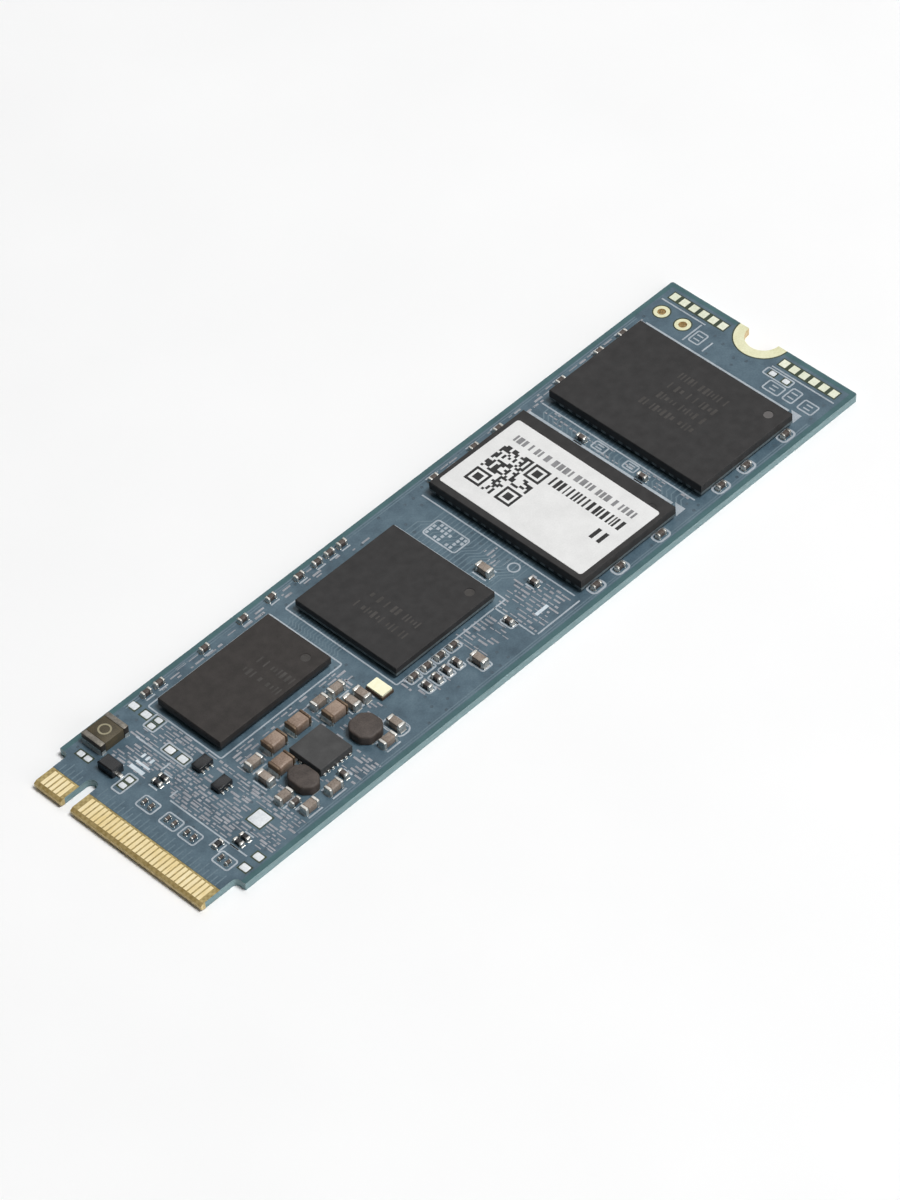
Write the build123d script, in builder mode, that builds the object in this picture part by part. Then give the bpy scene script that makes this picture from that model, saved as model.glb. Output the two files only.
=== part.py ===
"""Plug-in solid-state drive, 22 x 80 mm, single-sided, with one keying notch.

Frame: millimetres, +Z up, the underside of the board at z = 0. +X runs from the plug edge to the screw
notch, +Y to the side of the keying notch, and the origin is under the middle of the board.
"""
import os

from build123d import *

# Lengths along the board, from the plug edge to the screw notch: they add up to 80 mm
connector_zone = 12.7
memory_length = 13.0
memory_gap = 2.65
controller_length = 12.0
controller_gap = 5.6
flash_length = 12.0
flash_gap = 3.3
mounting_zone = 6.75

# Widths across the board: they add up to 22 mm
left_strip = 2.25
flash_width = 18.0
right_strip = 1.75

# Board
board_thickness = 0.8
corner_radius = 0.25
tongue_length = 4.0
tongue_inset = 1.075
shoulder_radius = 0.5
bevel_length = 0.3
bevel_depth = 0.2

# Plating and the depth of bare laminate below the painted surface
plating = 0.03
bare_strip = 2.2

# Edge contacts and keying notch
contact_positions = 75
contact_margin = 0.675
contact_width = 0.35
contact_end = 2.0
lane_positions = (6, 22, 31, 42)
key_first = 59
key_last = 66
key_width = 1.2
key_depth = 3.5

# Screw notch at the far end
notch_radius = 1.75
notch_ring_width = 1.0

# Service pads beside the screw notch
service_pad_count = 6
service_pad_pitch = 1.15
service_pad_length = 0.85
service_pad_width = 0.75
service_pad_setback = 1.37
service_pad_clearance = 0.55

# Two drilled holes with plated eyelets
header_hole_radius = 0.4
header_ring_width = 0.36
header_pitch = 2.54
header_setback = 3.6
header_margin = 1.95

# Ball-mounted packages
ball_height = 0.3
ball_radius = 0.24
flash_ball_pitch = 1.0
fine_ball_pitch = 0.9
ball_edge = 0.5
fine_ball_edge = 0.75
substrate_thickness = 0.28
flash_mould_height = 0.82
controller_mould_height = 0.62
memory_mould_height = 0.57
mould_edge = 0.05
marker_radius = 0.5
marker_inset = 1.5
marker_depth = 0.03
controller_width = 12.0
controller_margin = 3.4
memory_width = 7.5
memory_margin = 2.8

# Label on the front flash package
label_end_margin = 1.0
label_side_margin = 0.5
label_thickness = 0.06
label_corner = 0.5
label_turn = 0.7
label_shift = -0.35

# Power chip with leads on four sides
power_chip_size = 3.7
power_chip_height = 0.85
power_chip_setback = 5.45
power_chip_margin = 5.4
lead_count = 7
lead_pitch = 0.5
lead_width = 0.28
lead_toe = 0.12
lead_height = 0.2

# Inductors beside the power chip
inductor_height = 1.0
inductor_corner = 0.7
inductor_pad_height = 0.08
inductor_pad_length = 0.6
near_inductor_length = 2.2
near_inductor_width = 3.0
near_inductor_shift = -1.3
far_inductor_length = 2.75
far_inductor_width = 2.75
far_inductor_shift = -1.15
near_inductor_gap = 0.25
far_inductor_gap = 0.8
bulk_row_gap = 0.8
bulk_row_shift = -0.65

# Two-ended parts: overall length, width, height and length of each metal end
bulk_length = 2.0
bulk_width = 1.3
bulk_height = 1.1
bulk_end = 0.25
filter_length = 1.6
filter_width = 0.8
filter_height = 0.75
filter_end = 0.32
small_length = 1.0
small_width = 0.5
small_height = 0.48
small_end = 0.25
tiny_length = 0.62
tiny_width = 0.32
tiny_height = 0.3
tiny_end = 0.16
resistor_height = 0.35
end_skin = 0.02
part_gap = 0.4

# Input fuse and clamp diode by the plug
fuse_length = 3.2
fuse_width = 2.4
fuse_height = 1.1
fuse_end = 0.55
fuse_margin = 0.8
fuse_setback = 1.75
diode_length = 1.25
diode_width = 1.8
diode_height = 0.9
diode_lead_width = 0.4
diode_lead_reach = 0.4
diode_lead_height = 0.15
diode_setback = 0.6

# Support chips
support_length = 1.6
support_width = 1.0
support_height = 0.55
support_lead_width = 0.22
support_lead_reach = 0.2
support_lead_height = 0.14
support_lead_pitch = 0.5

# Crystal
crystal_length = 1.4
crystal_width = 2.0
crystal_base_height = 0.35
crystal_lid_height = 0.2
crystal_lid_inset = 0.08

# Bare tinned pads
bare_pad_height = 0.04
bare_pad_length = 0.55
bare_pad_width = 0.65
large_pad_length = 0.68
large_pad_width = 0.85
test_pad_size = 1.5

# Places of small parts along the board, from the middle of the package that they serve
memory_row = (-6.2, -4.7, 0.6, 5.2)
controller_row = (-6.6, -3.2, -1.0, 0.5, 2.0)
front_flash_left_row = (-4.6, 0.5, 3.6)
front_flash_right_row = (-4.6, -1.6, 3.6)
rear_flash_left_row = (-3.6, 1.4, 4.5)
rear_flash_right_row = (-3.9, -0.6, 4.6)
between_offset = 3.6
cluster_count = 4
cluster_pitch = 1.6
second_cluster_pitch = 1.2
strip_inset = 1.0
flash_left_inset = 1.4
flash_right_inset = 1.3

# Places by the plug, set back from the plug or in front of the memory, and across the board
lane_setback = 0.6
lane_pitch = 0.8
resistor_setback = 6.7
resistor_pitch = 0.72
resistor_pair_ys = (2.1, -7.5)
lone_resistor_setback = 5.4
lone_resistor_y = -6.4
support_setbacks = (2.1, 2.6)
support_ys = (0.75, -2.05)
test_pad_setback = 3.0
test_pad_y = -6.9
middle_pad_setback = 2.7
middle_pad_ys = (4.0, 2.5)
edge_pad_setback = 1.3
edge_pad_margins = (1.15, 2.65)
corner_pad_setbacks = (5.2, 6.75)
corner_pad_margin = 1.25
inner_pad_setbacks = (1.9, 1.05)
inner_pad_margin = 3.9
shoulder_pad_setback = 0.75
shoulder_pad_margins = (1.75, 2.6)
key_pad_setbacks = (0.65, 1.45)
key_pad_shift = -2.0
far_pad_setback = 3.0
far_pad_ys = (-3.7, -5.25)

# Derived: board outline
board_length = (
    connector_zone + memory_length + memory_gap + controller_length
    + controller_gap + flash_length + flash_gap + flash_length + mounting_zone
)
board_width = left_strip + flash_width + right_strip
front_x = -board_length / 2
far_x = board_length / 2
left_y = board_width / 2
right_y = -board_width / 2
tongue_width = board_width - 2 * tongue_inset
top = board_thickness

# Derived: contact places, numbered from the right-hand side, odd ones on top and even ones below
contact_step = (tongue_width - 2 * contact_margin) / (contact_positions - 1)


def contact_y(position):
    return (position - (contact_positions + 1) / 2) * contact_step


key_y = (contact_y(key_first) + contact_y(key_last)) / 2
key_straight = key_depth - key_width / 2
contact_length = contact_end - bevel_length
contact_x = front_x + bevel_length + contact_length / 2
used_positions = [n for n in range(1, contact_positions + 1) if not key_first <= n <= key_last]
top_contacts = [(contact_x, contact_y(n)) for n in used_positions if n % 2 == 1]
bottom_contacts = [(contact_x, contact_y(n)) for n in used_positions if n % 2 == 0]

# Derived: far end
notch_ring_radius = notch_radius + notch_ring_width
header_ring_radius = header_hole_radius + header_ring_width
header_x = far_x - header_setback
header_ys = [left_y - header_margin, left_y - header_margin - header_pitch]
service_x = far_x - service_pad_setback
service_first_y = notch_ring_radius + service_pad_clearance + service_pad_width / 2

# Derived: middles and edges of the packages
memory_front = front_x + connector_zone
memory_x = memory_front + memory_length / 2
memory_y = left_y - memory_margin - memory_width / 2
controller_x = memory_x + memory_length / 2 + memory_gap + controller_length / 2
controller_y = left_y - controller_margin - controller_width / 2
controller_front = controller_x - controller_length / 2
controller_rear = controller_x + controller_length / 2
controller_right = controller_y - controller_width / 2
flash_front_x = controller_rear + controller_gap + flash_length / 2
flash_rear_x = flash_front_x + flash_length + flash_gap
flash_between_x = (flash_front_x + flash_rear_x) / 2
flash_y = (right_strip - left_strip) / 2
label_length = flash_length - 2 * label_end_margin
label_width = flash_width - 2 * label_side_margin

# Derived: power group, which hangs together from the power chip
power_x = memory_front + power_chip_setback
power_y = right_y + power_chip_margin
power_reach = power_chip_size / 2 + lead_toe
near_inductor_x = power_x - power_reach - near_inductor_gap - near_inductor_length / 2
near_inductor_y = power_y + near_inductor_shift
near_inductor_front = near_inductor_x - near_inductor_length / 2
near_inductor_left = near_inductor_y + near_inductor_width / 2
near_inductor_right = near_inductor_y - near_inductor_width / 2
far_inductor_x = power_x + power_reach + far_inductor_gap + far_inductor_length / 2
far_inductor_y = power_y + far_inductor_shift
far_inductor_rear = far_inductor_x + far_inductor_length / 2
far_inductor_left = far_inductor_y + far_inductor_width / 2
far_inductor_right = far_inductor_y - far_inductor_width / 2

# Places of two-ended parts: (x, y, turn), where a turn of 90 lays the part across the board
across = 90
bulk_row_y = power_y + power_reach + 2 * part_gap + bulk_width / 2
bulk_row_x = power_x + bulk_row_shift
third_bulk_y = near_inductor_left + part_gap + bulk_width / 2
fourth_bulk_x = far_inductor_x - part_gap
fourth_bulk_y = far_inductor_left + 3 * part_gap + bulk_width / 2
bulk_places = [
    (bulk_row_x - bulk_row_gap / 2 - bulk_length / 2, bulk_row_y, 0),
    (bulk_row_x + bulk_row_gap / 2 + bulk_length / 2, bulk_row_y, 0),
    (near_inductor_x, third_bulk_y, 0),
    (fourth_bulk_x, fourth_bulk_y, 0),
]
bulk_row_front = bulk_row_x - bulk_row_gap / 2 - bulk_length
third_bulk_front = min(near_inductor_x - bulk_length / 2, near_inductor_front)
upright_x = fourth_bulk_x + bulk_length / 2 + part_gap + filter_width / 2
upright_y = fourth_bulk_y - part_gap / 2
upright_pitch = filter_width + part_gap
upper_row_y = fourth_bulk_y + bulk_width / 2 + 2 * part_gap + filter_width / 2
near_lower_y = near_inductor_right - part_gap - filter_width / 2
far_lower_y = far_inductor_right - part_gap - filter_width / 2
first_cluster_x = controller_front + small_length
first_cluster_y = controller_right - 2 * part_gap - small_width / 2
second_cluster_y = first_cluster_y - small_width / 2 - 2 * part_gap - small_length / 2
third_cluster_y = second_cluster_y - small_length / 2 - filter_length / 2
filter_places = [
    (bulk_row_front - 2 * part_gap - filter_length / 2, bulk_row_y - part_gap / 2, 0),
    (third_bulk_front - part_gap - filter_width / 2, third_bulk_y, across),
    (near_inductor_front - part_gap - filter_length / 2, near_inductor_y, 0),
    (near_inductor_x - filter_length, near_lower_y, 0),
    (near_inductor_x + filter_length / 2 + part_gap, near_lower_y, 0),
    (far_inductor_x + part_gap, far_lower_y, 0),
    (far_inductor_rear + part_gap + filter_width / 2, far_inductor_right, across),
    (fourth_bulk_x, upper_row_y, 0),
    (fourth_bulk_x + filter_length + part_gap, upper_row_y, 0),
    (upright_x, upright_y, across),
    (upright_x + upright_pitch, upright_y, across),
    (controller_x, third_cluster_y, across),
    (controller_rear + controller_gap / 3, controller_y - controller_width / 4, across),
]

# Strips along the edges, clusters beside the controller and the gap between the flash packages
left_row_y = left_y - strip_inset
flash_left_y = left_y - flash_left_inset
flash_right_y = right_y + flash_right_inset
small_places = (
    [(memory_x + dx, left_row_y, 0) for dx in memory_row]
    + [(controller_x + dx, left_row_y, 0) for dx in controller_row]
    + [(flash_front_x + dx, flash_left_y, 0) for dx in front_flash_left_row]
    + [(flash_front_x + dx, flash_right_y, 0) for dx in front_flash_right_row]
    + [(flash_rear_x + dx, flash_left_y, 0) for dx in rear_flash_left_row]
    + [(flash_rear_x + dx, flash_right_y, 0) for dx in rear_flash_right_row]
    + [(first_cluster_x + n * cluster_pitch, first_cluster_y, 0) for n in range(cluster_count)]
    + [(first_cluster_x + n * second_cluster_pitch, second_cluster_y, across) for n in range(cluster_count)]
    + [(flash_between_x, flash_y + side * between_offset, across) for side in (-1, 1)]
    + [
        (near_inductor_front - part_gap - small_length / 2, near_inductor_right + small_width, 0),
        (power_x - small_length / 2, near_lower_y + small_length / 2, across),
        (controller_rear - small_length, second_cluster_y, across),
        (controller_rear + 2 * controller_gap / 3, first_cluster_y, across),
    ]
)

# Data lanes: one pair of coupling capacitors to each of four frames behind the contacts
tongue_end = front_x + max(tongue_length, key_depth)
lane_ys = [contact_y(n) for n in lane_positions]
lane_x = tongue_end + lane_setback
tiny_places = [(lane_x, y + side * lane_pitch / 2, 0) for y in lane_ys for side in (-1, 1)]

# Clamp diode behind the keying notch, and the fuse behind the left shoulder
diode_x = tongue_end + diode_setback + diode_length / 2
diode_y = key_y
fuse_x = front_x + tongue_length + fuse_setback + fuse_length / 2
fuse_y = left_y - fuse_margin - fuse_width / 2

# Resistors and support chips between the plug and the memory
resistor_x = front_x + resistor_setback
resistor_pair = (resistor_x, resistor_x + resistor_pitch)
resistor_places = (
    [(x, y, across) for x in resistor_pair for y in resistor_pair_ys]
    + [(front_x + lone_resistor_setback, lone_resistor_y, 0)]
)
support_places = [(memory_front - setback, y) for setback, y in zip(support_setbacks, support_ys)]

# Crystal between the power group and the controller
crystal_x = upright_x + upright_pitch + filter_width / 2 + part_gap + crystal_length / 2
crystal_y = upright_y - 1.5 * part_gap

# Bare pads of two sizes
bare_places = (
    [(memory_front - setback, left_y - inner_pad_margin) for setback in inner_pad_setbacks]
    + [(front_x + tongue_length + shoulder_pad_setback, left_y - margin) for margin in shoulder_pad_margins]
    + [(tongue_end + setback, key_y + key_pad_shift) for setback in key_pad_setbacks]
    + [(far_x - far_pad_setback, y) for y in far_pad_ys]
)
large_places = (
    [(memory_front - middle_pad_setback, y) for y in middle_pad_ys]
    + [(memory_front - edge_pad_setback, left_y - margin) for margin in edge_pad_margins]
    + [(front_x + setback, right_y + corner_pad_margin) for setback in corner_pad_setbacks]
)
test_pad_place = (memory_front - test_pad_setback, test_pad_y)

os.makedirs("parts", exist_ok=True)


def save(piece, name):
    piece.part.label = name
    export_step(piece.part, f"parts/{name}.step")


def eyelet_outline(hole_radius, ring_radius):
    """Half section of a plated hole in its own plane: a wall with a flange at each face."""
    return [
        (hole_radius, 0),
        (ring_radius, 0),
        (ring_radius, plating),
        (hole_radius + plating, plating),
        (hole_radius + plating, top - plating),
        (ring_radius, top - plating),
        (ring_radius, top),
        (hole_radius, top),
    ]


def two_ended(places, length, width, height, end, body_name, ends_name):
    """Chip parts of one size: bodies that lie between two slightly larger metal ends."""
    spots = [Location((x, y), turn) for x, y, turn in places]
    with BuildPart() as bodies:
        with BuildSketch(Plane.XY.offset(top)):
            with Locations(*spots):
                Rectangle(length - 2 * end, width - 2 * end_skin)
        extrude(amount=height - end_skin)
    save(bodies, body_name)
    with BuildPart() as ends:
        with BuildSketch(Plane.XY.offset(top)):
            with Locations(*spots):
                with GridLocations(length - end, 0, 2, 1):
                    Rectangle(end, width)
        extrude(amount=height)
    save(ends, ends_name)


def ball_ring(length, width, pitch, edge):
    """Places of the outermost balls of a grid that keeps a margin inside a package."""
    columns = int((length - 2 * edge) / pitch + 0.01) + 1
    rows = int((width - 2 * edge) / pitch + 0.01) + 1
    places = []
    for column in range(columns):
        for row in range(rows):
            if column in (0, columns - 1) or row in (0, rows - 1):
                places.append(((column - (columns - 1) / 2) * pitch, (row - (rows - 1) / 2) * pitch))
    return places


def package(x, y, length, width, mould_height, ball_places, name):
    """A moulded block on a substrate that stands on solder balls, with a round mark at one corner."""
    with BuildPart() as balls:
        with BuildSketch(Plane.XY.offset(top)):
            with Locations(*[(x + dx, y + dy) for dx, dy in ball_places]):
                RegularPolygon(ball_radius, 6)
        extrude(amount=ball_height)
    save(balls, f"{name}_balls")

    with BuildPart() as substrate:
        with BuildSketch(Plane.XY.offset(top + ball_height)):
            with Locations((x, y)):
                Rectangle(length, width)
        extrude(amount=substrate_thickness)
    save(substrate, f"{name}_substrate")

    mould_base = top + ball_height + substrate_thickness
    with BuildPart() as mould:
        with BuildSketch(Plane.XY.offset(mould_base)):
            with Locations((x, y)):
                Rectangle(length, width)
        extrude(amount=mould_height)
        chamfer(mould.faces().sort_by(Axis.Z)[-1].edges(), mould_edge)
        with BuildSketch(Plane.XY.offset(mould_base + mould_height)):
            with Locations((x + length / 2 - marker_inset, y - width / 2 + marker_inset)):
                Circle(marker_radius)
        extrude(amount=-marker_depth, mode=Mode.SUBTRACT)
    save(mould, f"{name}_mould")


# Circuit board: tongue with keying notch and bevel, screw notch, drilled holes and bare laminate
with BuildPart() as circuit_board:
    with BuildSketch() as outline:
        with Locations((front_x, 0)):
            Rectangle(board_length, tongue_width, align=(Align.MIN, Align.CENTER))
        with Locations((front_x + tongue_length, 0)):
            Rectangle(board_length - tongue_length, board_width, align=(Align.MIN, Align.CENTER))
        shoulder_corners = outline.vertices().group_by(Axis.X)[1].sort_by(Axis.Y)[1:-1]
        fillet(shoulder_corners, shoulder_radius)
        fillet(outline.vertices().group_by(Axis.X)[-1], corner_radius)
        with Locations((front_x, key_y)):
            Rectangle(key_straight, key_width, align=(Align.MIN, Align.CENTER), mode=Mode.SUBTRACT)
        with Locations((front_x + key_straight, key_y)):
            Circle(key_width / 2, mode=Mode.SUBTRACT)
        with Locations((far_x, 0)):
            Circle(notch_radius + plating, mode=Mode.SUBTRACT)
        with Locations(*[(header_x, y) for y in header_ys]):
            Circle(header_hole_radius + plating, mode=Mode.SUBTRACT)
    extrude(amount=board_thickness)
    for face_z, inward in ((top, -plating), (0, plating)):
        with BuildSketch(Plane.XY.offset(face_z)):
            with Locations((front_x, 0)):
                Rectangle(bare_strip, board_width, align=(Align.MIN, Align.CENTER))
            with Locations((far_x, 0)):
                Circle(notch_ring_radius)
            with Locations(*[(header_x, y) for y in header_ys]):
                Circle(header_ring_radius)
        extrude(amount=inward, mode=Mode.SUBTRACT)
    with BuildSketch(Plane.XZ.offset(-left_y)):
        for edge_z, inward in ((top - plating, -bevel_depth), (plating, bevel_depth)):
            with BuildLine():
                Polyline(
                    (front_x, edge_z),
                    (front_x + bevel_length, edge_z),
                    (front_x, edge_z + inward),
                    close=True,
                )
            make_face()
    extrude(amount=board_width, mode=Mode.SUBTRACT)
save(circuit_board, "circuit_board")

# Edge contacts, flush with the painted surfaces
with BuildPart() as contacts_top:
    with BuildSketch(Plane.XY.offset(top - plating)):
        with Locations(*top_contacts):
            Rectangle(contact_length, contact_width)
    extrude(amount=plating)
save(contacts_top, "contacts_top")

with BuildPart() as contacts_bottom:
    with BuildSketch(Plane.XY):
        with Locations(*bottom_contacts):
            Rectangle(contact_length, contact_width)
    extrude(amount=plating)
save(contacts_bottom, "contacts_bottom")

# Plated screw notch: half a turn of the eyelet section
with BuildPart() as mounting_ring:
    with BuildSketch(Plane(origin=(far_x, 0, 0), x_dir=(0, 1, 0), z_dir=(1, 0, 0))):
        with BuildLine():
            Polyline(*eyelet_outline(notch_radius, notch_ring_radius), close=True)
        make_face()
    revolve(axis=Axis((far_x, 0, 0), (0, 0, 1)), revolution_arc=180)
save(mounting_ring, "mounting_ring")

# Plated eyelets of the drilled holes
with BuildPart() as header_eyelets:
    for header_y in header_ys:
        with BuildSketch(Plane(origin=(header_x, header_y, 0), x_dir=(0, 1, 0), z_dir=(1, 0, 0))):
            with BuildLine():
                Polyline(*eyelet_outline(header_hole_radius, header_ring_radius), close=True)
            make_face()
        revolve(axis=Axis((header_x, header_y, 0), (0, 0, 1)))
save(header_eyelets, "header_eyelets")

# Service pads on both sides of the screw notch
with BuildPart() as service_pads:
    with BuildSketch(Plane.XY.offset(top)):
        for side in (-1, 1):
            for step in range(service_pad_count):
                with Locations((service_x, side * (service_first_y + step * service_pad_pitch))):
                    Rectangle(service_pad_length, service_pad_width)
    extrude(amount=plating)
save(service_pads, "service_pads")

# Bare tinned pads of places with nothing fitted, and one large test pad
with BuildPart() as bare_pads:
    with BuildSketch(Plane.XY.offset(top)):
        with Locations(*bare_places):
            Rectangle(bare_pad_length, bare_pad_width)
        with Locations(*large_places):
            Rectangle(large_pad_length, large_pad_width)
        with Locations(test_pad_place):
            Rectangle(test_pad_size, test_pad_size)
    extrude(amount=bare_pad_height)
save(bare_pads, "bare_pads")

# Flash packages: the outer columns of balls are filled only near their ends
flash_balls = [
    (dx, dy)
    for dx, dy in ball_ring(flash_length, flash_width, flash_ball_pitch, ball_edge)
    if abs(dy) > flash_width / 4
]
package(flash_front_x, flash_y, flash_length, flash_width, flash_mould_height, flash_balls, "flash_front")
package(flash_rear_x, flash_y, flash_length, flash_width, flash_mould_height, flash_balls, "flash_rear")

# Controller and working memory
controller_balls = ball_ring(controller_length, controller_width, fine_ball_pitch, fine_ball_edge)
package(
    controller_x, controller_y, controller_length, controller_width,
    controller_mould_height, controller_balls, "controller",
)
memory_balls = ball_ring(memory_length, memory_width, fine_ball_pitch, fine_ball_edge)
package(memory_x, memory_y, memory_length, memory_width, memory_mould_height, memory_balls, "memory")

# Label, laid a little askew on the front flash package
flash_top = top + ball_height + substrate_thickness + flash_mould_height
with BuildPart() as flash_label:
    with BuildSketch(Plane.XY.offset(flash_top)):
        with Locations(Location((flash_front_x + label_shift, flash_y), -label_turn)):
            RectangleRounded(label_length, label_width, label_corner)
    extrude(amount=label_thickness)
save(flash_label, "flash_label")

# Power chip with soldered leads along its four sides
with BuildPart() as power_chip:
    with BuildSketch(Plane.XY.offset(top)):
        with Locations((power_x, power_y)):
            Rectangle(power_chip_size, power_chip_size)
    extrude(amount=power_chip_height)
    chamfer(power_chip.faces().sort_by(Axis.Z)[-1].edges(), mould_edge)
save(power_chip, "power_chip")

with BuildPart() as power_chip_leads:
    with BuildSketch(Plane.XY.offset(top)):
        with Locations((power_x, power_y)):
            with GridLocations(power_chip_size + lead_toe, lead_pitch, 2, lead_count):
                Rectangle(lead_toe, lead_width)
            with GridLocations(lead_pitch, power_chip_size + lead_toe, lead_count, 2):
                Rectangle(lead_width, lead_toe)
    extrude(amount=lead_height)
save(power_chip_leads, "power_chip_leads")

# Inductors: pressed blocks with cut corners, each on two soldered pads
inductors = [
    (near_inductor_x, near_inductor_y, near_inductor_length, near_inductor_width, "near_inductor"),
    (far_inductor_x, far_inductor_y, far_inductor_length, far_inductor_width, "far_inductor"),
]
for x, y, length, width, name in inductors:
    with BuildPart() as inductor:
        with BuildSketch(Plane.XY.offset(top + inductor_pad_height)):
            with Locations((x, y)):
                Rectangle(length, width)
        extrude(amount=inductor_height - inductor_pad_height)
        chamfer(inductor.edges().filter_by(Axis.Z), inductor_corner)
        chamfer(inductor.faces().sort_by(Axis.Z)[-1].edges(), mould_edge)
    save(inductor, name)

with BuildPart() as inductor_pads:
    with BuildSketch(Plane.XY.offset(top)):
        for x, y, length, width, name in inductors:
            with Locations((x, y)):
                with GridLocations(0, width - inductor_pad_length, 1, 2):
                    Rectangle(length - 2 * inductor_corner, inductor_pad_length)
    extrude(amount=inductor_pad_height)
save(inductor_pads, "inductor_pads")

# Two-ended chip parts
two_ended(
    bulk_places, bulk_length, bulk_width, bulk_height, bulk_end,
    "bulk_capacitors", "bulk_capacitor_ends",
)
two_ended(
    filter_places, filter_length, filter_width, filter_height, filter_end,
    "filter_capacitors", "filter_capacitor_ends",
)
two_ended(
    small_places, small_length, small_width, small_height, small_end,
    "decoupling_capacitors", "decoupling_capacitor_ends",
)
two_ended(
    tiny_places, tiny_length, tiny_width, tiny_height, tiny_end,
    "coupling_capacitors", "coupling_capacitor_ends",
)
two_ended(
    resistor_places, small_length, small_width, resistor_height, small_end,
    "resistors", "resistor_ends",
)
two_ended(
    [(fuse_x, fuse_y, 0)], fuse_length, fuse_width, fuse_height, fuse_end,
    "input_fuse", "input_fuse_ends",
)

# Clamp diode: a moulded body with one flat lead at each end
with BuildPart() as clamp_diode:
    with BuildSketch(Plane.XY.offset(top)):
        with Locations((diode_x, diode_y)):
            Rectangle(diode_length, diode_width)
    extrude(amount=diode_height)
    chamfer(clamp_diode.faces().sort_by(Axis.Z)[-1].edges(), 2 * mould_edge)
save(clamp_diode, "clamp_diode")

with BuildPart() as clamp_diode_leads:
    with BuildSketch(Plane.XY.offset(top)):
        with Locations((diode_x, diode_y)):
            with GridLocations(0, diode_width + diode_lead_reach, 1, 2):
                Rectangle(diode_lead_width, diode_lead_reach)
    extrude(amount=diode_lead_height)
save(clamp_diode_leads, "clamp_diode_leads")

# Support chips with three leads on each long side
with BuildPart() as support_chips:
    with BuildSketch(Plane.XY.offset(top)):
        with Locations(*support_places):
            Rectangle(support_length, support_width)
    extrude(amount=support_height)
save(support_chips, "support_chips")

with BuildPart() as support_chip_leads:
    with BuildSketch(Plane.XY.offset(top)):
        with Locations(*support_places):
            with GridLocations(support_lead_pitch, support_width + support_lead_reach, 3, 2):
                Rectangle(support_lead_width, support_lead_reach)
    extrude(amount=support_lead_height)
save(support_chip_leads, "support_chip_leads")

# Crystal: ceramic base under a metal lid
with BuildPart() as crystal_base:
    with BuildSketch(Plane.XY.offset(top)):
        with Locations((crystal_x, crystal_y)):
            Rectangle(crystal_length, crystal_width)
    extrude(amount=crystal_base_height)
save(crystal_base, "crystal_base")

with BuildPart() as crystal_lid:
    with BuildSketch(Plane.XY.offset(top + crystal_base_height)):
        with Locations((crystal_x, crystal_y)):
            RectangleRounded(
                crystal_length - 2 * crystal_lid_inset,
                crystal_width - 2 * crystal_lid_inset,
                crystal_lid_inset,
            )
    extrude(amount=crystal_lid_height)
save(crystal_lid, "crystal_lid")
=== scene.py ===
"""Looks of the plug-in solid-state drive.

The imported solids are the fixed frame. Lengths here are in millimetres, in the part's own frame: +X runs from
the plug edge to the screw notch, +Y to the side of the keying notch and +Z up, with the underside of the
board at z = 0. Pieces are scaled to metres when they are made. Colours are display values from 0 to 255.
"""
import math
import random

import bmesh
import bpy
from mathutils import Color, Matrix, Vector


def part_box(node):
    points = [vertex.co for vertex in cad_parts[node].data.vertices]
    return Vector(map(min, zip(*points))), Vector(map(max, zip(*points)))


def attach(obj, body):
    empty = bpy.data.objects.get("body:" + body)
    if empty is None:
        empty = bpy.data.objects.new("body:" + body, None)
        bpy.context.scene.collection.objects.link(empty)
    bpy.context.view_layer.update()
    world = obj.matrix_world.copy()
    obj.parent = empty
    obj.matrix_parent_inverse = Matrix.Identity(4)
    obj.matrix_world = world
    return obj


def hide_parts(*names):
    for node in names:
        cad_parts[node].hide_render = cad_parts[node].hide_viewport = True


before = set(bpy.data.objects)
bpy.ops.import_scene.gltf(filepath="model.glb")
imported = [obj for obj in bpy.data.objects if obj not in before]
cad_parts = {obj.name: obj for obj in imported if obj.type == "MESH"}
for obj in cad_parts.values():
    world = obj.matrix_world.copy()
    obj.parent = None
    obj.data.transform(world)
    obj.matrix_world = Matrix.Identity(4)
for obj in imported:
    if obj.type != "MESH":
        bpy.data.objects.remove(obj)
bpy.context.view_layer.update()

MM = 0.001

# Camera, fitted to the photograph
camera_eye = (-200.02, -206.76, 302.24)
camera_azimuth = 46.05
camera_drop = 46.59
camera_roll = 3.06
camera_lens = 146.05
camera_sensor = 36.0

# Studio: lamps as (name, direction from the part, distance, size, power)
lamps = (
    ("key_lamp", (0.22, -0.30, 0.93), 1500.0, 520.0, 19.0),
    ("fill_lamp", (0.05, -0.95, 0.45), 1500.0, 1100.0, 6.0),
    ("back_lamp", (0.48, 0.50, 0.74), 1500.0, 1100.0, 4.2),
)
sky_strength = 0.04
floor_size = 3000.0
floor_drop = 0.02

# Colours of the board, from dark to light
mask_colours = ((60, 80, 93), (78, 100, 113), (94, 116, 128))
rim_colours = ((50, 84, 88), (74, 110, 114))
laminate_colours = ((146, 128, 80), (184, 165, 112))
# The bevel's laminate is darkened as painted shade and the front wall's laminate lightened as painted light;
# both are the same bare laminate
shaded_bevel_colours = ((148, 126, 74), (178, 157, 106))
lit_front_colours = ((186, 164, 108), (222, 202, 148))
edge_colours = ((100, 128, 132), (144, 172, 176))
under_line_colour = (92, 113, 125)
under_ring_colour = (100, 119, 130)

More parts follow.
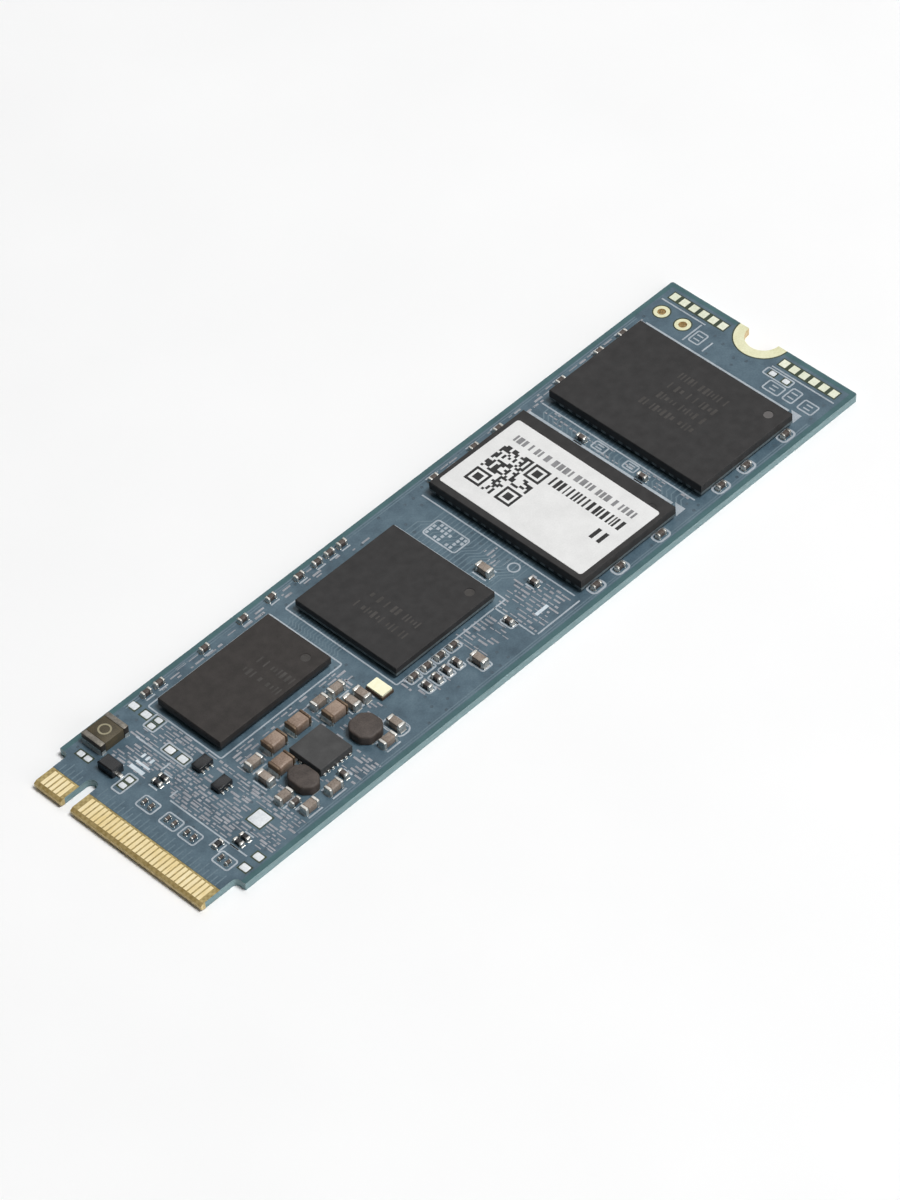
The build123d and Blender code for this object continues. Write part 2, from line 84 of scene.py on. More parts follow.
# Grained finishes: colours from dark to light, range of roughness, grains per millimetre, relief and gloss
grained_looks = {
    "painted_copper": (((84, 106, 118), (102, 123, 134)), (0.36, 0.48), 6.0, 0.004),
    "painted_vias": (((54, 71, 82), (76, 95, 107)), (0.36, 0.48), 6.0, 0.004),
    "bare_windows": (((40, 52, 40), (64, 76, 54)), (0.5, 0.7), 6.0, 0.004),
    "printed_lines": (((150, 160, 168), (182, 190, 197)), (0.55, 0.75), 9.0, 0.004),
    "printed_strokes": (((128, 130, 136), (170, 171, 176)), (0.55, 0.75), 9.0, 0.004),
    "bright_printed_lines": (((184, 198, 208), (220, 229, 235)), (0.5, 0.7), 9.0, 0.004),
    "flash_mould_compound": (((44, 43, 43), (57, 56, 56)), (0.5, 0.68), 14.0, 0.005, 0.3),
    "memory_mould_compound": (((47, 44, 42), (61, 57, 55)), (0.5, 0.68), 14.0, 0.005, 0.3),
    "power_mould_compound": (((62, 62, 62), (78, 78, 78)), (0.45, 0.62), 14.0, 0.005, 0.3),
    "pale_dots": (((92, 89, 88), (112, 109, 108)), (0.6, 0.8), 16.0, 0.004, 0.3),
    "laser_marks": (((62, 60, 58), (80, 77, 75)), (0.6, 0.8), 16.0, 0.004, 0.3),
    "label_paper": (((222, 222, 221), (233, 233, 232)), (0.4, 0.55), 10.0, 0.003),
    "black_print": (((34, 34, 35), (56, 55, 55)), (0.4, 0.6), 12.0, 0.003, 0.3),
    "grey_print": (((118, 118, 120), (150, 150, 151)), (0.4, 0.6), 12.0, 0.003, 0.3),
    "pressed_powder": (((55, 48, 44), (87, 78, 73)), (0.5, 0.75), 12.0, 0.012),
    "fired_ceramic": (((122, 101, 86), (166, 146, 130)), (0.35, 0.55), 7.0, 0.005),
    "grey_fired_ceramic": (((116, 103, 92), (162, 150, 139)), (0.35, 0.55), 7.0, 0.005),
    # Body of the small decoupling and coupling capacitors: partly their own dark ceramic, partly painted shade
    "dark_and_shaded_ceramic": (((66, 58, 54), (98, 88, 82)), (0.35, 0.55), 7.0, 0.005),
    "resistor_coating": (((18, 19, 20), (36, 37, 40)), (0.2, 0.38), 10.0, 0.004),
    "fuse_ceramic": (((56, 50, 36), (92, 82, 60)), (0.4, 0.6), 8.0, 0.006),
    "fuse_mark": (((136, 129, 104), (164, 157, 130)), (0.5, 0.7), 9.0, 0.003),
    "crystal_base_ceramic": (((66, 50, 36), (94, 74, 54)), (0.4, 0.6), 9.0, 0.005),
    "studio_floor": (((248, 248, 248), (252, 252, 252)), (0.7, 0.85), 0.05, 0.001),
}

# Plated metals: colours, range of roughness, share of metal, streak, and darker colours of the walls, which
# are painted shade
metal_looks = {
    "finger_gold": (((229, 205, 146), (245, 230, 188)), (0.22, 0.4), 0.5, 0.12),
    "gold_plating": (((217, 215, 172), (237, 236, 203)), (0.3, 0.45), 0.35, 1.0,
                     ((190, 164, 112), (226, 202, 152))),
    "pale_gold_plating": (((216, 220, 194), (240, 242, 224)), (0.3, 0.45), 0.3),
    "tin_and_solder": (((186, 184, 178), (236, 234, 228)), (0.2, 0.42), 0.9),
    "solder_balls": (((150, 154, 158), (200, 204, 208)), (0.3, 0.5), 0.3),
    # Dark stubs: painted shade of the balls and gap under the packages
    "painted_shade_stubs": (((18, 20, 22), (30, 33, 36)), (0.35, 0.5), 0.2),
    "bright_solder": (((208, 213, 217), (236, 239, 241)), (0.3, 0.45), 0.2),
    # Darkened metal ends of the bulk capacitors: painted shade
    "shaded_metal_ends": (((104, 86, 70), (146, 126, 106)), (0.4, 0.6), 0.6),
    "dull_nickel": (((112, 108, 100), (158, 152, 142)), (0.35, 0.55), 0.6, 1.0,
                    ((50, 46, 42), (74, 69, 63))),
    "crystal_lid_plating": (((250, 246, 206), (255, 254, 226)), (0.35, 0.55), 0.15, 0.5),
}

# Cut substrates: colours of their layers
substrate_looks = {
    "substrate_layers": ((76, 86, 90), (118, 130, 133)),
    "dark_substrate_layers": ((24, 27, 29), (44, 49, 52)),
}

# Zones of the board's finish
bare_strip = 2.2
bare_edge = 0.5
bevel_strip = 0.31
rim_width = 0.5
level_limit = 0.6
weave_pitch = 0.5
layer_pitch = 0.16
substrate_layer_pitch = 0.14

# Faint tracks and rings in the paint of the underside, the rings as shares of a cell
under_zones = 0.14
under_zone_share = 0.5
under_dots = 0.45
under_ring = (0.11, 0.05)
under_track_pitch = 0.5
under_track_limit = 0.3

# Thin layers on the board: how far they sink into it and stand above it
layer_sink = 0.006
window_height = 0.008
stroke_height = 0.010
trace_height = 0.012
silk_height = 0.014
mark_height = 0.006
print_height = 0.008
window_margin = 0.13

# Rings: radii, and the points on them as (first angle, last angle, steps)
circle_turn = (0, 350, 35)
half_turn = (92, 268, 36)
fuse_ring_turn = (0, 354, 36)
fuse_ring_radii = (0.62, 0.46)
hole_mark_radii = (0.6, 0.46)

# Silk printing
silk_line = 0.15
frame_corner = 0.1
ring_line = 0.2
ring_gap = 0.4
ring_corner = 0.3
thick_line = 0.28
thick_line_past = 0.4
package_near_gap = 0.62
package_far_gap = 0.8
flash_far_gap = 1.1
flash_corner = 1.2
flash_corner_gap = 0.1
flash_line_inset = 0.2
flash_line_past = 0.3
flash_row_reach = 20.0
controller_row_reach = 1.0
part_frame_gap = 0.27
part_frame_line = 0.16
lane_frame_gap = 1.6 * part_frame_gap
lane_frame_corner = 0.15
ringed_place = (24.7, -8.5)
ringed_gap = 0.45
ringed_corner = 0.5
empty_bar = 0.7
stroke_widths = (0.10, 0.14, 0.18, 0.22)
stroke_lengths = (0.22, 1.1)
stroke_gaps = (0.12, 0.34)
stroke_sway = 0.05
stroke_clearance = 0.1

# Rounded chip parts and their solder
smooth_angle = 50
end_rounding = 0.05
lead_rounding = 0.025
body_rounding = 0.04
bulk_rounding = 0.12
fillet_steps = 5
fillet_reach = 0.1
fillet_side_reach = 0.05
fillet_rise_share = 0.5
fillet_side_share = 0.6
lead_rise_share = 0.7

# Swollen pads, as (share of the crown's inset, share of the height) from the foot up
pad_corner = 0.12
pad_crown = 0.22
pad_profile = ((0, 0), (0, 0.45), (0.3, 0.8), (1, 1))

# Inductors: cut of the corners, and how far their edges are drawn in
inductor_cut = 0.7
inductor_softness = 0.3
inductor_rounding = 0.18
inductor_steps = 4

# Cut plating lines on the edges of the flash packages' substrates
stub_pitch = 1.0
stub_width = 0.45
stub_height = 0.22

# Vias, turned from (radius, height) points
via_radius = 0.16
via_profile = ((0.0, -layer_sink), (via_radius, -layer_sink), (0.15, 0.011), (0.09, 0.011),
               (0.06, 0.003), (0.0, 0.002))
via_segments = 12
via_count = 170
via_tries = 4000
via_spacing = 0.7
via_clearance = 0.12
via_near = 5.0
via_far = 1.0
via_side = 0.8

# Tracks under the paint
track_width = 0.13
track_overlap = 0.5
side_track_inset = 0.62
side_track_pitch = 0.24
side_track_near = 2.0
side_track_far = 1.0
contact_track_gap = 0.25
contact_track_lengths = (1.35, 0.85)

# Label on the front flash package, with its print
label_end_margin = 1.0
label_side_margin = 0.5
label_corner = 0.3
label_corner_steps = 8
label_turn = -0.7
label_thickness = 0.045
label_edge = 0.03
code_u = -3.35
code_v = 1.65
code_modules = 21
code_module = 0.26
code_finder = 7
code_share = 0.5
short_bar_ends = (-1.25, 0.1)
short_bar_width = 0.4
short_bar_places = (-7.1, -6.25)

# Marks on the moulded packages
chip_stroke_widths = (0.16, 0.16, 0.3)
chip_stroke_halves = (0.42, 0.42, 0.24)
chip_stroke_gaps = (0.2, 0.26, 0.6)
corner_dot_inset = 1.5
corner_dot_radius = 0.44
corner_dot_depth = 0.03
corner_dot_segments = 24

# Painted board that is free for print and vias
free_start = 4.3
free_margin = 0.45

fixed_seed = 2280
draw = random.Random(fixed_seed)


def box_of(node):
    """Lowest and highest corner of a node."""
    low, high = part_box(node)
    return low / MM, high / MM


def turned(degrees, axis):
    return Matrix.Rotation(math.radians(degrees), 4, axis)


def middle_of(low, high):
    return (low + high) / 2


def group_box(boxes, gap):
    """Lowest and highest x and y of a group of boxes, a gap further out."""
    x0, y0 = (min(low[axis] for low, high in boxes) - gap for axis in (0, 1))
    x1, y1 = (max(high[axis] for low, high in boxes) + gap for axis in (0, 1))
    return x0, y0, x1, y1


board_low, board_high = box_of("circuit_board")
front_x = board_low.x
far_x = board_high.x
right_y = board_low.y
left_y = board_high.y
top = board_high.z


def solid_boxes(node):
    """Lowest and highest corner of each separate solid of a node, in order along the board."""
    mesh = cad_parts[node].data
    spots = [tuple(round(c / MM, 3) for c in v.co) for v in mesh.vertices]
    leader = {spot: spot for spot in spots}

    def root(spot):
        while leader[spot] != spot:
            leader[spot] = leader[leader[spot]]
            spot = leader[spot]
        return spot

    for face in mesh.polygons:
        first = root(spots[face.vertices[0]])
        for index in face.vertices[1:]:
            leader[root(spots[index])] = first
    groups = {}
    for spot in leader:
        groups.setdefault(root(spot), []).append(spot)
    boxes = [(Vector(map(min, *group)), Vector(map(max, *group))) for group in groups.values()]
    return sorted(boxes, key=lambda box: tuple(box[0]))


flash_names = ("flash_front", "flash_rear")
package_names = (*flash_names, "controller", "memory")

# Boxes that strokes and vias keep clear of: all but the board, its contacts and the inductors' pads
passed_nodes = ("circuit_board", "contacts_top", "contacts_bottom", "inductor_pads")
taken = [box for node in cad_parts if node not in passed_nodes for box in solid_boxes(node)]


def metal_of(body_node, kind):
    """Node with the metal ends or leads of a body."""
    return f"{body_node.removesuffix('s')}_{kind}"


def is_free(x0, y0, x1, y1, clearance):
    """True where a rectangle stays on the painted board and clear of what is soldered to it."""
    inside_x = x0 > front_x + free_start and x1 < far_x - free_margin
    inside_y = y0 > right_y + free_margin and y1 < left_y - free_margin
    if not (inside_x and inside_y):
        return False
    for low, high in taken:
        beside = x1 + clearance < low.x or x0 - clearance > high.x
        if not beside and y1 + clearance > low.y and y0 - clearance < high.y:
            return False
    return True


def bar_is_free(start, end, width, clearance):
    """The same for a straight bar along the board or across it."""
    half = width / 2
    return is_free(start[0] - half, start[1] - half, end[0] + half, end[1] + half, clearance)


# Shapes


def join_rows(shape, rows):
    """Faces between rows of points that follow each other; one point may fill a whole row."""
    for lower, upper in zip(rows, rows[1:]):
        for i, corner in enumerate(lower):
            j = (i + 1) % len(lower)
            shape.faces.new(dict.fromkeys((corner, lower[j], upper[j], upper[i])))


def stack(shape, outlines):
    """A closed piece through outlines that follow each other and have as many points."""
    rows = [[shape.verts.new(point) for point in outline] for outline in outlines]
    shape.faces.new(rows[0][::-1])
    shape.faces.new(rows[-1])
    join_rows(shape, rows)


def at_height(outline, z):
    return [(x, y, z) for x, y in outline]


def layer(shape, outline, height, face=top, sink=layer_sink):
    """A thin layer over an outline of (x, y) points, sunk a little into the face it lies on."""
    stack(shape, [at_height(outline, face - sink), at_height(outline, face + height)])


def band(shape, outer, inner, height, face=top):
    """A closed thin layer between two outlines with as many points."""
    levels = ((inner, -layer_sink), (outer, -layer_sink), (outer, height), (inner, height))
    rows = [[shape.verts.new(point) for point in at_height(outline, face + z)] for outline, z in levels]
    join_rows(shape, rows + rows[:1])


def rectangle(x0, y0, x1, y1):
    return [(x0, y0), (x1, y0), (x1, y1), (x0, y1)]


def arc(x, y, radius, start, end, steps):
    """Points of a circle between two angles in degrees."""
    angles = [math.radians(start + (end - start) * step / steps) for step in range(steps + 1)]
    return [(x + radius * math.cos(a), y + radius * math.sin(a)) for a in angles]


def rounded_outline(x0, y0, x1, y1, radius, steps=4):
    """A rectangle with round corners."""
    corners = rectangle(x0 + radius, y0 + radius, x1 - radius, y1 - radius)
    points = []
    for quarter, corner in enumerate(corners[2:] + corners[:2]):
        points += arc(*corner, radius, 90 * quarter, 90 * (quarter + 1), steps)
    return points


def ring(shape, place, radii, turn, height, face=top):
    """A thin flat ring between two radii."""
    band(shape, *[arc(*place, radius, *turn) for radius in radii], height, face)


def cut_outline(low, high, inset):
    """Outline of a block with cut corners, each corner drawn in softly."""
    x0, y0, x1, y1 = low.x + inset, low.y + inset, high.x - inset, high.y - inset
    cut = inductor_cut - inset * (2 - math.sqrt(2))
    corners = ((x0 + cut, y0), (x1 - cut, y0), (x1, y0 + cut), (x1, y1 - cut),
               (x1 - cut, y1), (x0 + cut, y1), (x0, y1 - cut), (x0, y0 + cut))
    points = []
    for i, corner in enumerate(map(Vector, corners)):
        start = corner + (Vector(corners[i - 1]) - corner).normalized() * inductor_softness
        end = corner + (Vector(corners[(i + 1) % len(corners)]) - corner).normalized() * inductor_softness
        for step in range(inductor_steps + 1):
            share = step / inductor_steps
            points.append(start.lerp(corner, share).lerp(corner.lerp(end, share), share))
    return points


def ribbon(points, width):
    """Outline of a line of that width through points, with mitred corners."""
    points = [Vector(point) for point in points]
    left, right = [], []
    for i, point in enumerate(points):
        before = points[max(i, 1)] - points[max(i, 1) - 1]
        after = points[min(i + 1, len(points) - 1)] - points[min(i, len(points) - 2)]
        square = Vector((-before.y, before.x)).normalized()
        normal = (square + Vector((-after.y, after.x)).normalized()).normalized()
        reach = width / 2 / normal.dot(square)
        left.append(point + normal * reach)
        right.append(point - normal * reach)
    return left + right[::-1]


def lathe(shape, x, y, base, profile, segments):
    """A turned piece: (radius, height) points, where a radius of zero closes it."""
    rings = []
    for radius, height in profile:
        if radius == 0:
            rings.append([shape.verts.new((x, y, base + height))] * segments)
        else:
            turn = arc(x, y, radius, 0, 360, segments)[:-1]
            rings.append([shape.verts.new(point) for point in at_height(turn, base + height)])
    join_rows(shape, rings)


def rounded_box(shape, low, high, rounding):
    """A block with rounded edges, by a third of its smallest side at most."""
    size = high - low
    place = Matrix.Translation(middle_of(low, high)) @ Matrix.Diagonal((*size, 1))
    corners = bmesh.ops.create_cube(shape, size=1, matrix=place)["verts"]
    edges = list(dict.fromkeys(edge for corner in corners for edge in corner.link_edges))
    bmesh.ops.bevel(shape, geom=edges, offset=min(rounding, min(size) / 3), segments=2, profile=0.5,
                    affect="EDGES", clamp_overlap=True)


def outward(low, high, bodies):
    """Axis (0 for x, 1 for y) and side on which a metal end lies off the nearest body."""
    middle = middle_of(low, high)
    body_low, body_high = min(bodies, key=lambda box: (middle_of(*box) - middle).length)
    away = middle - middle_of(body_low, body_high)
    half = (body_high - body_low) / 2
    axis = 0 if abs(away.x) - half.x > abs(away.y) - half.y else 1
    return axis, 1 if away[axis] > 0 else -1


def solder_fillet(shape, low, high, axis, side, reach, rise):
    """A hollow wedge of solder along one foot of a metal end, towards a side on an axis."""
    face = high[axis] if side > 0 else low[axis]
    curve = [(reach * out, rise * up) for out, up in arc(1, 1, 1, -90, -180, fillet_steps)]
    section = [(-end_rounding, -layer_sink), (reach, -layer_sink)] + curve + [(-end_rounding, rise)]
    outlines = []
    for across in (low[1 - axis] + end_rounding, high[1 - axis] - end_rounding):
        outline = []
        for out, up in section:
            point = [0.0, 0.0, top + up]
            point[axis] = face + side * out
            point[1 - axis] = across
            outline.append(point)
        outlines.append(outline)
    stack(shape, outlines)


# Pieces


def new_object(name, data):
    made = bpy.data.objects.new(name, data)
    bpy.context.scene.collection.objects.link(made)
    return made


def mesh_object(name, shape, finish):
    mesh = bpy.data.meshes.new(name)
    shape.to_mesh(mesh)
    shape.free()
    mesh.materials.append(finishes[finish])
    return new_object(name, mesh)


def add_piece(name, shape, finish, stands_for=(), smooth=False):
    """Turns a shape into a piece that rides on the part."""
    bmesh.ops.scale(shape, vec=(MM, MM, MM), verts=shape.verts)
    bmesh.ops.recalc_face_normals(shape, faces=shape.faces)
    made = mesh_object(name, shape, finish)
    if smooth:
        made.data.polygons.foreach_set("use_smooth", [True] * len(made.data.polygons))
        made.data.set_sharp_from_angle(angle=math.radians(smooth_angle))
    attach(made, "root")
    if stands_for:
        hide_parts(*stands_for)


def add_rounded(node, rounding, finish):
    """All the solids of a node with rounded edges, as one piece."""
    shape = bmesh.new()
    for low, high in solid_boxes(node):
        rounded_box(shape, low, high, rounding)
    add_piece(f"{node}_rounded", shape, finish, [node], smooth=True)


def paint(finish, *nodes):
    """Gives solids of the frame a finish."""
    for node in nodes:
        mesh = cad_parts[node].data
        mesh.materials.clear()
        mesh.materials.append(finishes[finish])


# Finishes


def linear(colour):
    """A display colour as the shader's own values."""
    display = Color([part / 255 for part in colour])
    return (*display.from_srgb_to_scene_linear(), 1.0)


class Finish:
    """A procedural material and its nodes; scales are in features per millimetre."""

    def __init__(self, name, metallic=0.0, specular=0.5):
        self.material = bpy.data.materials.new(name)
        self.material.use_nodes = True
        self.tree = self.material.node_tree
        self.shader = self.tree.nodes["Principled BSDF"]
        self.feed(self.shader, {"Metallic": metallic, "Specular IOR Level": specular})
        self.place = self.node("ShaderNodeTexCoord").outputs["Object"]

    def feed(self, node, values):
        """Links or sets inputs of a node."""
        for key, value in values.items():
            if isinstance(value, bpy.types.NodeSocket):
                self.tree.links.new(value, node.inputs[key])
            else:
                node.inputs[key].default_value = value

    def node(self, kind, values=None, **settings):
        made = self.tree.nodes.new(kind)
        for key, value in settings.items():
            setattr(made, key, value)
        self.feed(made, values or {})
        return made

    def math(self, operation, first, second=0.0):
        return self.node("ShaderNodeMath", {0: first, 1: second}, operation=operation).outputs[0]

    def add(self, first, second, share):
        """The first value and a share of the second."""
        return self.math("ADD", first, self.math("MULTIPLY", second, share))

    def average(self, first, second):
        return self.math("MULTIPLY", self.math("ADD", first, second), 0.5)

    def split(self, vector):
        return self.node("ShaderNodeSeparateXYZ", {0: vector}).outputs

    def stretched(self, *factors):
        return self.node("ShaderNodeVectorMath", {0: self.place, 1: factors}, operation="MULTIPLY").outputs[0]

    def noise(self, per_mm, detail=2.0, place=None):
        values = {"Vector": place or self.place, "Scale": per_mm / MM, "Detail": detail}
        return self.node("ShaderNodeTexNoise", values).outputs["Fac"]

    def cells(self, per_mm, place, distance):
        """Random cells over a plane, seen along Z."""
        values = {"Vector": place, "Scale": per_mm / MM}
        settings = {"feature": "F1", "voronoi_dimensions": "2D", "distance": distance}
        return self.node("ShaderNodeTexVoronoi", values, **settings).outputs

    def facing(self):
        """How far the surface faces up, from -1 to 1."""
        return self.split(self.node("ShaderNodeNewGeometry").outputs["Normal"])["Z"]

    def is_level(self):
        """1 on faces that look up or down, 0 on walls."""
        return self.math("GREATER_THAN", self.math("ABSOLUTE", self.facing()), level_limit)

    def wave(self, length, pitch):
        """A sine along one coordinate, with a pitch in millimetres."""
        return self.math("SINE", self.math("MULTIPLY", length, 2 * math.pi / (pitch * MM)))

    def ramp(self, factor, colours, low=0.35, high=0.65):
        made = self.node("ShaderNodeValToRGB", {"Fac": factor})
        stops = made.color_ramp.elements
        while len(stops) < len(colours):
            stops.new(0.5)
        for i, colour in enumerate(colours):
            stops[i].position = low + (high - low) * i / (len(colours) - 1)
            stops[i].color = linear(colour)
        return made.outputs["Color"]

    def mix(self, factor, first, second):
        values = {"Factor": factor, "A": first, "B": second}
        return self.node("ShaderNodeMix", values, data_type="RGBA").outputs["Result"]

    def spread(self, factor, low, high):
        """A factor from 0 to 1 as a value from low to high."""
        values = {"Value": factor, "To Min": low, "To Max": high}
        return self.node("ShaderNodeMapRange", values).outputs["Result"]

    def finish(self, colour, roughness, height, depth):
        """Connects colour, gloss and relief; the depth of the relief is in millimetres."""
        bump = self.node("ShaderNodeBump", {"Strength": 1.0, "Distance": depth * MM, "Height": height})
        values = {"Base Color": colour, "Roughness": roughness, "Normal": bump.outputs["Normal"]}
        self.feed(self.shader, values)
        return self.material


def grained(name, colours, roughness, per_mm, depth, specular=0.5):
    """A finish with broad patches and a fine grain, in colour, gloss and relief."""
    look = Finish(name, specular=specular)
    fine = look.noise(per_mm, 3.0)
    broad = look.noise(per_mm / 14)
    colour = look.ramp(look.average(fine, broad), colours)
    return look.finish(colour, look.spread(fine, *roughness), fine, depth)


def metal_finish(name, colours, roughness, metallic, streak=1.0, shaded_wall_colours=None):
    """Plated metal with fine marks, drawn out along the board when the streak is small."""
    look = Finish(name, metallic=metallic)
    marks = look.noise(5.0, 3.0, look.stretched(streak, 1.0, 1.0))
    blend = look.average(marks, look.noise(0.6))
    colour = look.ramp(blend, colours)
    # Walls get darker colours than level faces of the same plating: painted shade
    if shaded_wall_colours:
        colour = look.mix(look.is_level(), look.ramp(blend, shaded_wall_colours), colour)
    return look.finish(colour, look.spread(marks, *roughness), marks, 0.003)


def substrate_finish(name, colours):
    """Cut edge of a resin substrate: thin layers."""
    look = Finish(name)
    z = look.split(look.place)["Z"]
    tone = look.add(look.noise(4.0, 3.0), look.wave(z, substrate_layer_pitch), 0.2)
    return look.finish(look.ramp(tone, colours), look.spread(tone, 0.4, 0.6), tone, 0.004)


def board_finish():
    """Painted laminate: paint on both faces, bare laminate at the plug and cut layers along the edges."""
    look = Finish("painted_laminate", specular=0.4)
    x, y, z = look.split(look.place)
    is_face = look.is_level()
    is_under = look.math("LESS_THAN", look.facing(), -level_limit)
    strips = [(front_x + strip) * MM for strip in (bare_strip, bevel_strip, bare_edge)]
    is_bare, is_bevel, is_bare_edge = (look.math("LESS_THAN", x, strip) for strip in strips)
    side_rim = look.math("GREATER_THAN", look.math("ABSOLUTE", y), (left_y - rim_width) * MM)
    far_rim = look.math("GREATER_THAN", x, (far_x - rim_width) * MM)
    is_rim = look.math("MAXIMUM", side_rim, far_rim)

    patches = look.noise(0.16, 4.0)
    fine = look.noise(6.0)
    mottle = look.noise(0.8, 3.0)
    tone = look.add(look.add(look.math("MULTIPLY", patches, 0.4), mottle, 0.4), fine, 0.2)
    painted = look.ramp(tone, mask_colours)
    painted = look.mix(is_rim, painted, look.ramp(tone, rim_colours, 0.3, 0.7))

    zone = look.cells(under_zones, look.stretched(0.4, 1.0, 1.0), "CHEBYCHEV")["Color"]
    in_zone = look.math("GREATER_THAN", look.split(zone)["X"], under_zone_share)
    has_tracks = look.math("MULTIPLY", is_under, in_zone)
    rows = look.math("GREATER_THAN", look.wave(y, under_track_pitch), under_track_limit)
    under_lines = look.math("MULTIPLY", rows, has_tracks)
    painted = look.mix(under_lines, painted, linear(under_line_colour))
    dots = look.cells(under_dots, look.place, "EUCLIDEAN")["Distance"]
    disc, hole = (look.math("LESS_THAN", dots, radius) for radius in under_ring)
    has_rings = look.math("SUBTRACT", is_under, has_tracks)
    under_rings = look.math("MULTIPLY", look.math("SUBTRACT", disc, hole), has_rings)
    painted = look.mix(under_rings, painted, linear(under_ring_colour))

    weave = look.math("MULTIPLY", look.wave(x, weave_pitch), look.wave(y, weave_pitch))
    bare_tone = look.add(look.noise(2.0, 3.0), weave, 0.15)
    # Bevel: bare laminate with painted shade; front: the cut front wall with painted light
    bare_ramps = (laminate_colours, shaded_bevel_colours, lit_front_colours)
    gaps, bevel, front = (look.ramp(bare_tone, colours, 0.3, 0.7) for colours in bare_ramps)
    bare = look.mix(is_bevel, gaps, bevel)

    streaks = look.noise(3.0, 3.0, look.stretched(0.15, 0.15, 6.0))
    layers = look.add(streaks, look.wave(z, layer_pitch), 0.18)
    cut = look.mix(is_bare_edge, look.ramp(layers, edge_colours, 0.3, 0.75), front)

    colour = look.mix(is_face, cut, look.mix(is_bare, painted, bare))
    roughness = look.add(look.spread(fine, 0.36, 0.48), is_bare, 0.2)
    relief = look.math("ADD", under_rings, under_lines)
    height = look.math("ADD", look.add(fine, weave, 0.25), relief)
    return look.finish(colour, roughness, height, 0.006)


finishes = {name: grained(name, *look) for name, look in grained_looks.items()}
finishes |= {name: metal_finish(name, *look) for name, look in metal_looks.items()}
finishes |= {name: substrate_finish(name, colours) for name, colours in substrate_looks.items()}
finishes["painted_laminate"] = board_finish()

# Solids of the frame that keep their own shape
paint("painted_laminate", "circuit_board")
paint("finger_gold", "contacts_top", "contacts_bottom")
paint("gold_plating", "mounting_ring", "header_eyelets")
paint("pale_gold_plating", "service_pads")
paint("tin_and_solder", "inductor_pads")
paint("memory_mould_compound", "memory_mould")
paint("power_mould_compound", "power_chip")
paint("resistor_coating", "clamp_diode")
for name in (*flash_names, "controller"):
    paint("flash_mould_compound", f"{name}_mould")
    paint("substrate_layers", f"{name}_substrate")
paint("dark_substrate_layers", "memory_substrate")
paint("crystal_lid_plating", "crystal_lid")

# Solder balls under the packages, as shares of their radius and height
ball_profile = ((0.0, 0.0), (0.72, 0.0), (0.92, 0.2), (1.0, 0.5), (0.92, 0.8), (0.72, 1.0), (0.0, 1.0))
ball_segments = 14
for name in package_names:
    balls = bmesh.new()
    for low, high in solid_boxes(f"{name}_balls"):
        radius = (high.x - low.x) / 2
        height = high.z - low.z
        profile = [(radius * across, height * rise) for across, rise in ball_profile]
        lathe(balls, *middle_of(low, high).xy, low.z, profile, ball_segments)
    add_piece(f"{name}_solder_balls", balls, "solder_balls", [f"{name}_balls"], smooth=True)

# Stubs of the plating lines, cut through along two edges of the flash packages' substrates; their dark colour
# is painted shade standing for the shaded solder balls and gap under each package
stubs = bmesh.new()
for name in flash_names:
    low, high = box_of(f"{name}_substrate")
    middle = middle_of(low, high)
    count = int((high.y - low.y) / stub_pitch)
    for i in range(count):
        y = middle.y + (i - (count - 1) / 2) * stub_pitch
        for face in (low.x, high.x):
            outline = rectangle(face - layer_sink, y - stub_width / 2, face + layer_sink, y + stub_width / 2)
            layer(stubs, outline, stub_height / 2, middle.z, stub_height / 2)
add_piece("substrate_edge_stubs", stubs, "painted_shade_stubs")

# Two-ended chip parts with rounded bodies, rounded metal ends and solder along their feet
two_ended_looks = {
    "bulk_capacitors": ("capacitor_ceramic", "fired_ceramic", "shaded_metal_ends", bulk_rounding),
    "filter_capacitors": ("capacitor_ceramic", "grey_fired_ceramic", "tin_and_solder", body_rounding),
    "decoupling_capacitors": ("capacitor_ceramic", "dark_and_shaded_ceramic", "tin_and_solder", body_rounding),
    "coupling_capacitors": ("capacitor_ceramic", "dark_and_shaded_ceramic", "tin_and_solder", body_rounding),
    "resistors": ("resistor_coat", "resistor_coating", "tin_and_solder", body_rounding),
    "input_fuse": ("fuse_body", "fuse_ceramic", "dull_nickel", body_rounding),
}
solder = bmesh.new()
for body_node, (slot, body_finish, end_finish, rounding) in two_ended_looks.items():
    ends_node = metal_of(body_node, "ends")
    add_rounded(body_node, rounding, body_finish)
    add_rounded(ends_node, max(rounding, end_rounding), end_finish)
    bodies = solid_boxes(body_node)
    for low, high in solid_boxes(ends_node):
        axis, side = outward(low, high, bodies)
        rise = fillet_rise_share * (high.z - low.z)
        solder_fillet(solder, low, high, axis, side, fillet_reach, rise)
        for lateral in (-1, 1):
            solder_fillet(solder, low, high, 1 - axis, lateral, fillet_side_reach, fillet_side_share * rise)

# Leads of the chips, with the same solder
for body_node in ("power_chip", "support_chips", "clamp_diode"):
    leads_node = metal_of(body_node, "leads")
    add_rounded(leads_node, lead_rounding, "tin_and_solder")
    bodies = solid_boxes(body_node)
    for low, high in solid_boxes(leads_node):
        rise = lead_rise_share * (high.z - low.z)
        solder_fillet(solder, low, high, *outward(low, high, bodies), fillet_side_reach, rise)
add_piece("solder_fillets", solder, "tin_and_solder", smooth=True)

add_rounded("support_chips", body_rounding, "resistor_coating")
add_rounded("crystal_base", body_rounding, "crystal_base_ceramic")

# Pressed inductors: blocks with cut corners and soft edges
inductor_nodes = ("near_inductor", "far_inductor")
inductor_edge = arc(inductor_rounding, -inductor_rounding, inductor_rounding, 180, 90, inductor_steps)
inductors = bmesh.new()
for node in inductor_nodes:
    low, high = box_of(node)
    outlines = [at_height(cut_outline(low, high, 0.0), low.z)]
    for inset, rise in inductor_edge:
        outlines.append(at_height(cut_outline(low, high, inset), high.z + rise))
    stack(inductors, outlines)
add_piece("inductors_soft", inductors, "pressed_powder", inductor_nodes, smooth=True)

